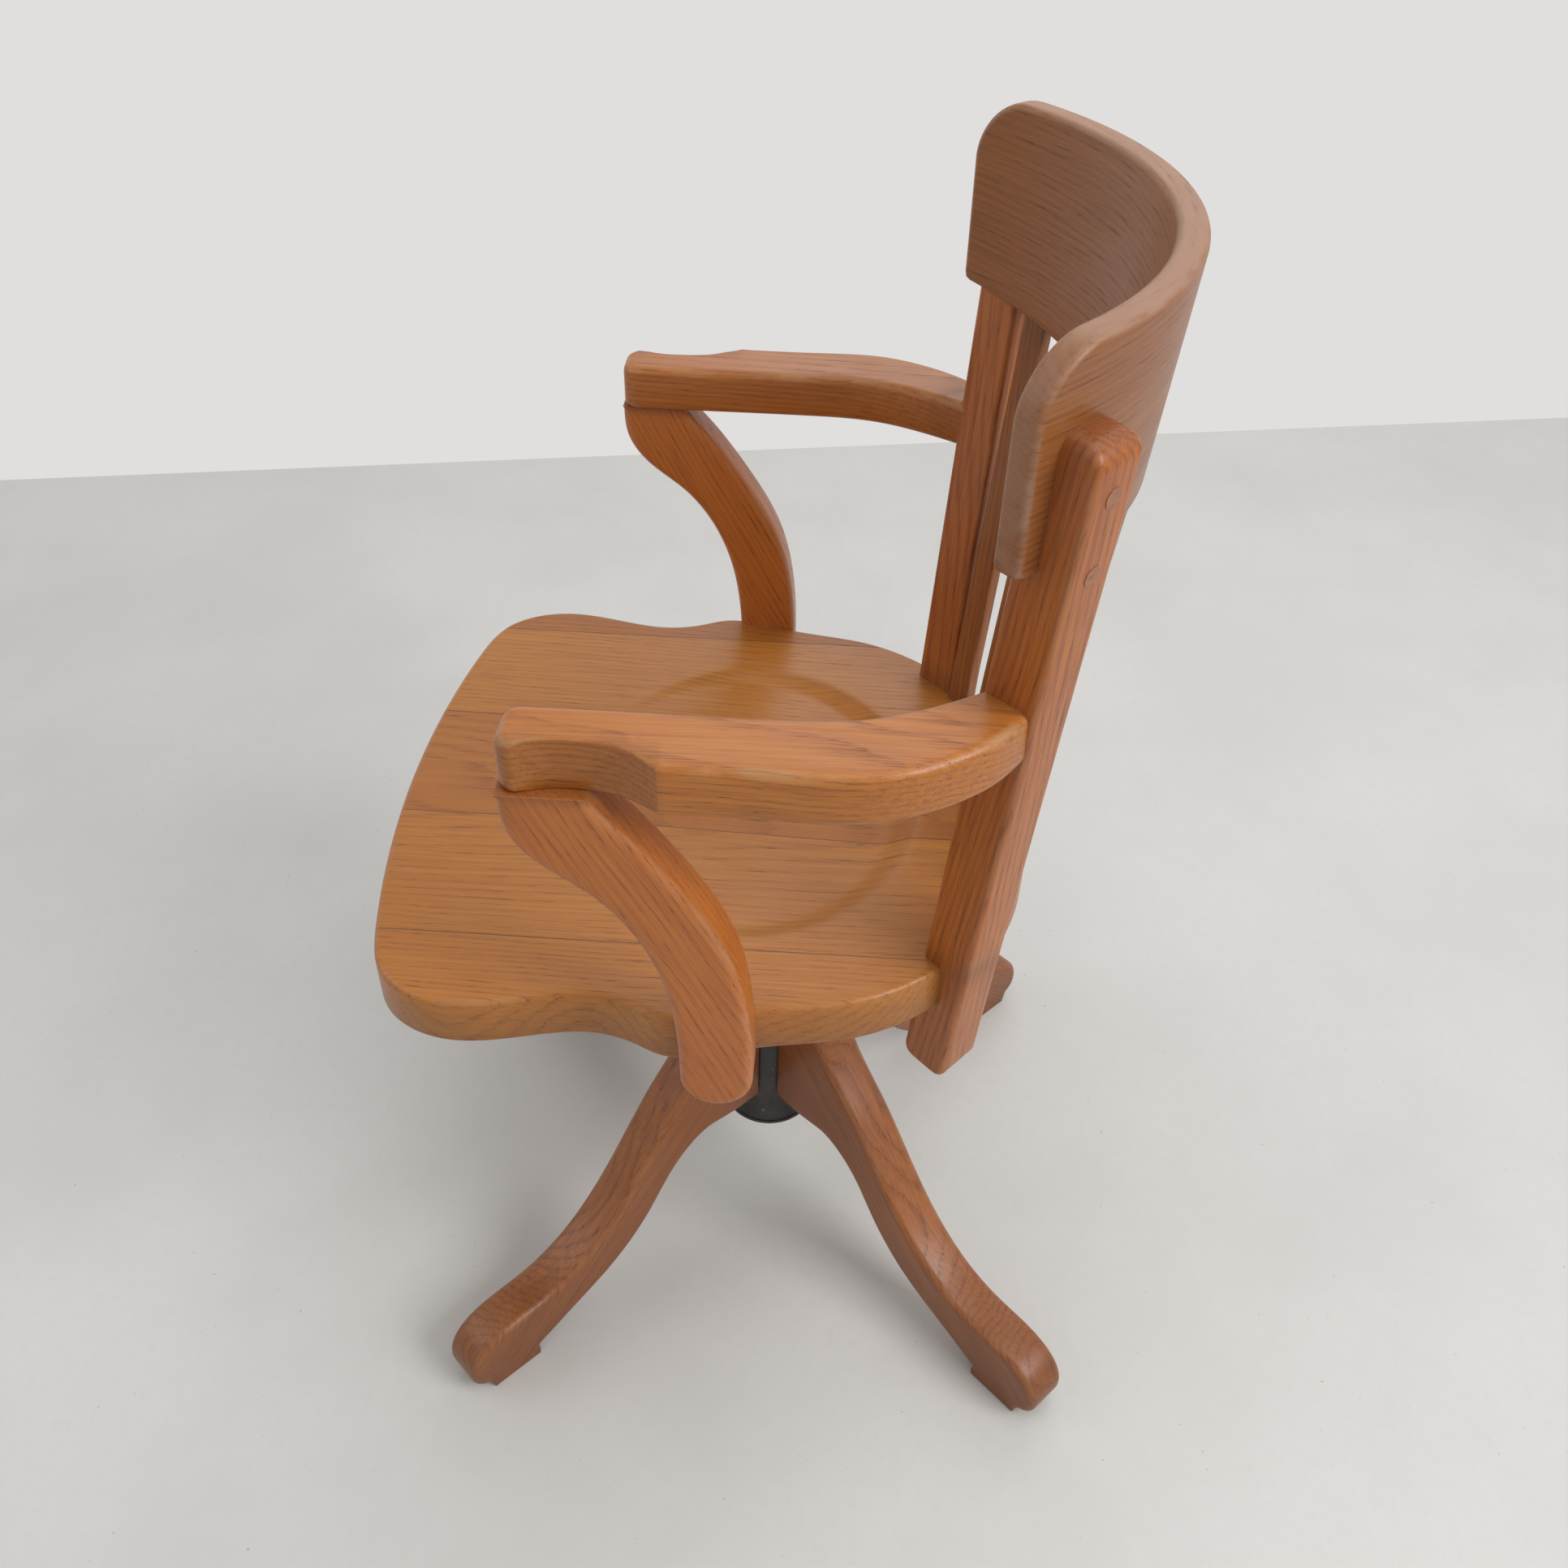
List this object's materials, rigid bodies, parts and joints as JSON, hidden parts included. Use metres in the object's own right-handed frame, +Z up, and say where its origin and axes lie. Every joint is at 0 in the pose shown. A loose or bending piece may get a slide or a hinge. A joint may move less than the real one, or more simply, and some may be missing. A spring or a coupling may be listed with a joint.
{
  "type": "bankers swivel chair",
  "caption": "Oak armchair with a bent crest rail, slatted back and dished seat, swivelling on a cast hub with splayed legs and a hand wheel for height",
  "frame": {"origin": "on the swivel axis at floor level", "axes": "+Z up, the sitter faces -Y, the sitter's left hand is at +X"},
  "size_m": [0.532, 0.5276, 0.892],
  "materials": {
    "seat_oak": "satin varnish over golden brown stained oak",
    "frame_oak": "satin varnish over red-brown stained oak",
    "leg_oak": "worn satin varnish over brown stained oak, darker at the feet",
    "plug_oak": "varnished plug, its grain across the post's",
    "dowel_beech": "plain turned dowel, unfinished",
    "painted_iron": "black paint, thin and worn at the rims",
    "steel": "turned steel, dulled with age",
    "bush_brass": "plain turned bearing surface"
  },
  "bodies": {
    "base": {"hub": "painted_iron", "upper_bush": "bush_brass", "lower_bush": "bush_brass", "key_screw": "steel", "thrust_washer": "steel", "leg_rear_left": "leg_oak", "leg_rear_right": "leg_oak", "leg_front_left": "leg_oak", "leg_front_right": "leg_oak", "leg_flange_screws": "steel", "leg_lug_screws": "steel"},
    "height_wheel_turning": {"height_wheel": "painted_iron"},
    "spindle_sliding": {"spindle": "steel", "shoulder_washer": "steel", "retaining_washer": "steel", "retaining_bolt": "steel"},
    "seat_swivelling": {"seat": "seat_oak", "seat_iron": "painted_iron", "seat_iron_screws": "steel", "back_post_left": "frame_oak", "back_post_right": "frame_oak", "crest_rail": "frame_oak", "crest_screws": "steel", "crest_plugs": "plug_oak", "arm_left": "frame_oak", "arm_right": "frame_oak", "arm_support_left": "frame_oak", "arm_support_right": "frame_oak", "arm_dowels": "dowel_beech", "arm_head_dowels": "dowel_beech", "support_dowels": "dowel_beech", "post_dowels": "dowel_beech", "back_slat_1": "frame_oak", "back_slat_2": "frame_oak", "back_slat_3": "frame_oak", "back_slat_4": "frame_oak", "back_slat_5": "frame_oak", "back_slat_6": "frame_oak", "back_slat_7": "frame_oak", "back_slat_8": "frame_oak"}
  },
  "joints": [
    {"name": "height_wheel_turn", "type": "hinge", "parent": "base", "child": "height_wheel_turning", "pos_m": [0, 0, 0.3], "axis": [0, 0, 1], "range_deg": [-2990, 1190]},
    {"name": "seat_height", "type": "slide", "parent": "base", "child": "spindle_sliding", "axis": [0, 0, 1], "range_m": [-0.02, 0.05]},
    {"name": "seat_swivel", "type": "hinge", "parent": "spindle_sliding", "child": "seat_swivelling", "pos_m": [0, 0, 0.38], "axis": [0, 0, 1], "continuous": true}
  ],
  "couplings": [
    {"joint": "seat_height", "follows": "height_wheel_turn", "m_per_rad": -0.00095493}
  ]
}
